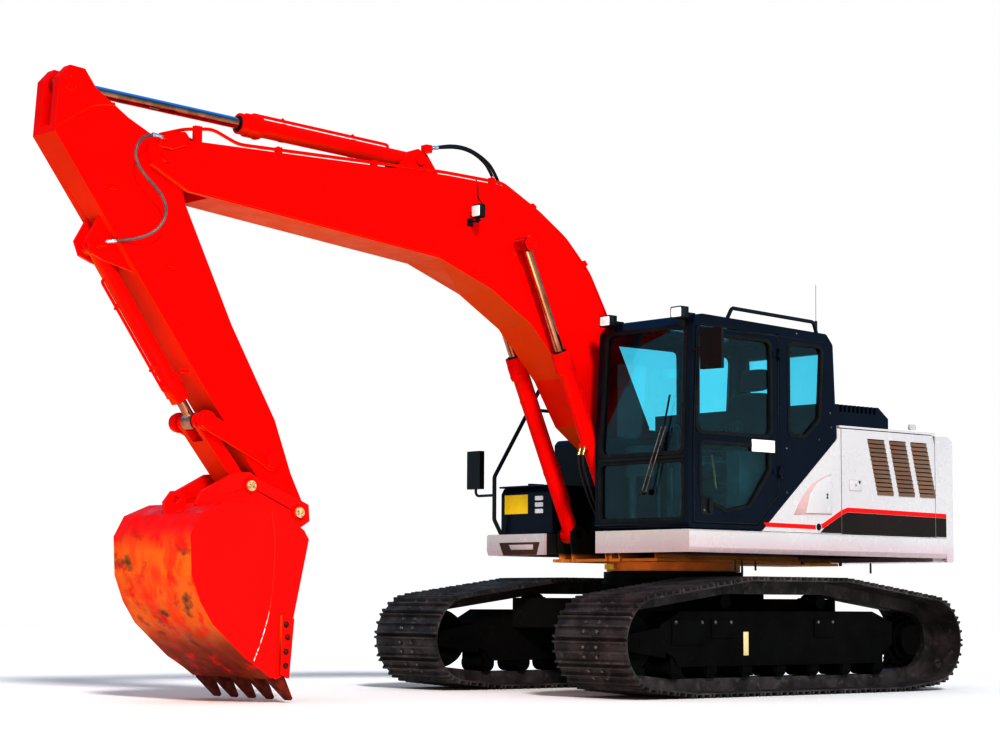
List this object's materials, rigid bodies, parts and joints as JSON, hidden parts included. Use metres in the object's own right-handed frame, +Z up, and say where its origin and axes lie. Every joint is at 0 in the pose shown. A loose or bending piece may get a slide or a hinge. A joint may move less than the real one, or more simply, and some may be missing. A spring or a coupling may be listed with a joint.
{
  "type": "crawler excavator",
  "caption": "Tracked digging machine with a swinging cab and house, a two-piece digging arm and a toothed bucket.",
  "frame": {"origin": "centre of the machine's footprint box, on the ground", "axes": "+X to the machine's front, along the boom; +Y to the operator's left; +Z up"},
  "size_m": [8.597, 3.1064, 4.42],
  "materials": {
    "red_paint": "gloss",
    "bucket_paint": "satin",
    "tooth_steel": "satin",
    "pin_steel": "satin",
    "rod_chrome": "gloss",
    "white_paint": "gloss",
    "white_casting": "gloss",
    "navy_paint": "gloss",
    "cab_glass": "gloss",
    "seat_cloth": "matte",
    "console_plastic": "matte",
    "rail_paint": "satin",
    "under_black": "satin",
    "frame_paint": "satin",
    "track_steel": "satin",
    "wheel_steel": "satin",
    "engine_iron": "matte"
  },
  "bodies": {
    "undercarriage": {"carbody": "under_black", "swing_bearing": "under_black", "track_frame_left": "under_black", "track_frame_right": "under_black", "track_left": "track_steel", "track_right": "track_steel", "sprockets": "wheel_steel", "idlers": "wheel_steel", "lower_rollers": "wheel_steel", "carrier_rollers": "wheel_steel"},
    "upper": {"main_frame": "frame_paint", "boom_foot_pins": "pin_steel", "side_skirts": "white_paint", "counterweight": "white_casting", "left_side_panel": "white_paint", "engine_cover": "navy_paint", "engine_block": "engine_iron", "fuel_tank": "navy_paint", "tool_box": "navy_paint", "valve_cover": "navy_paint", "cab_shell": "navy_paint", "cab_glass": "cab_glass", "seat": "seat_cloth", "consoles": "console_plastic", "roof_rail": "rail_paint", "cab_lamps": "rail_paint", "hand_rails": "rail_paint", "mirrors": "rail_paint"},
    "door": {"cab_door": "navy_paint", "door_glass": "cab_glass"},
    "engine_door_left": {"left_engine_door": "white_paint"},
    "engine_door_right": {"right_engine_door": "white_paint"},
    "hood": {"engine_hood": "navy_paint"},
    "boom": {"boom": "red_paint", "boom_pins": "pin_steel"},
    "boom_barrels": {"boom_barrels": "red_paint"},
    "boom_rods": {"boom_rods": "rod_chrome"},
    "arm": {"arm": "red_paint", "arm_pins": "pin_steel"},
    "arm_barrel": {"arm_barrel": "red_paint"},
    "arm_rod": {"arm_rod": "rod_chrome"},
    "bucket_barrel": {"bucket_barrel": "red_paint"},
    "bucket_rod": {"bucket_rod": "rod_chrome"},
    "guide_links": {"guide_links": "red_paint"},
    "power_link": {"power_link": "red_paint"},
    "bucket": {"bucket": "bucket_paint", "bucket_pins": "pin_steel", "bucket_teeth": "tooth_steel", "side_cutters": "bucket_paint"}
  },
  "joints": [
    {"name": "swing", "type": "hinge", "parent": "undercarriage", "child": "upper", "pos_m": [-1.7685, 0, 0.985], "axis": [0, 0, 1], "continuous": true},
    {"name": "boom_lift", "type": "hinge", "parent": "upper", "child": "boom", "pos_m": [-1.5185, -0.15, 1.78], "axis": [0, -1, 0], "range_deg": [-55, 42]},
    {"name": "arm_crowd", "type": "hinge", "parent": "boom", "child": "arm", "pos_m": [3.4315, -0.15, 3.865], "axis": [0, 1, 0], "range_deg": [-95, 22]},
    {"name": "bucket_curl", "type": "hinge", "parent": "arm", "child": "bucket", "pos_m": [2.2155, -0.15, 1.371], "axis": [0, 1, 0], "range_deg": [-10, 155]},
    {"name": "cab_door_hinge", "type": "hinge", "parent": "upper", "child": "door", "pos_m": [-1.7015, 1.284, 2.1], "axis": [0, 0, 1], "range_deg": [0, 160]},
    {"name": "left_engine_door_hinge", "type": "hinge", "parent": "upper", "child": "engine_door_left", "pos_m": [-3.6685, 1.255, 1.74], "axis": [0, 0, 1], "range_deg": [0, 95]},
    {"name": "right_engine_door_hinge", "type": "hinge", "parent": "upper", "child": "engine_door_right", "pos_m": [-3.6685, -1.255, 1.74], "axis": [0, 0, -1], "range_deg": [0, 95]},
    {"name": "engine_hood_hinge", "type": "hinge", "parent": "upper", "child": "hood", "pos_m": [-3.2885, 0.11, 2.228], "axis": [0, -1, 0], "range_deg": [0, 60]},
    {"name": "boom_cylinder_swivel", "type": "hinge", "parent": "upper", "child": "boom_barrels", "pos_m": [-0.9885, -0.15, 1.29], "axis": [0, -1, 0], "range_deg": [-52.75, 40.4]},
    {"name": "boom_rod_slide", "type": "slide", "parent": "boom_barrels", "child": "boom_rods", "axis": [0.4137, 0, 0.9104], "range_m": [-0.6184, 0.4731]},
    {"name": "arm_cylinder_swivel", "type": "hinge", "parent": "boom", "child": "arm_barrel", "pos_m": [1.0115, -0.15, 4.175], "axis": [0, 1, 0], "range_deg": [-11.9, 3.14]},
    {"name": "arm_rod_slide", "type": "slide", "parent": "arm_barrel", "child": "arm_rod", "axis": [0.9991, 0, 0.0427], "range_m": [-1.0817, 0.2536]},
    {"name": "bucket_cylinder_swivel", "type": "hinge", "parent": "arm", "child": "bucket_barrel", "pos_m": [3.8865, -0.15, 3.205], "axis": [0, 1, 0], "range_deg": [-7.47, 0.95]},
    {"name": "bucket_rod_slide", "type": "slide", "parent": "bucket_barrel", "child": "bucket_rod", "axis": [-0.5835, 0, -0.8121], "range_m": [-0.0721, 1.0591]},
    {"name": "guide_link_swivel", "type": "hinge", "parent": "arm", "child": "guide_links", "pos_m": [2.4485, -0.15, 1.745], "axis": [0, 1, 0], "range_deg": [-7.9, 115.2]},
    {"name": "power_link_swivel", "type": "hinge", "parent": "guide_links", "child": "power_link", "pos_m": [3.0265, -0.15, 2.008], "axis": [0, 1, 0], "range_deg": [-78, 5.5]}
  ],
  "couplings": [
    {"joint": "boom_cylinder_swivel", "follows": "boom_lift", "ratio": 0.95},
    {"joint": "boom_rod_slide", "follows": "boom_lift", "m_per_rad": 0.64},
    {"joint": "arm_cylinder_swivel", "follows": "arm_crowd", "ratio": 0.12},
    {"joint": "arm_rod_slide", "follows": "arm_crowd", "m_per_rad": 0.65},
    {"joint": "bucket_cylinder_swivel", "follows": "bucket_curl", "ratio": -0.045},
    {"joint": "bucket_rod_slide", "follows": "bucket_curl", "m_per_rad": 0.39},
    {"joint": "guide_link_swivel", "follows": "bucket_curl", "ratio": 0.74},
    {"joint": "power_link_swivel", "follows": "bucket_curl", "ratio": -0.5}
  ]
}
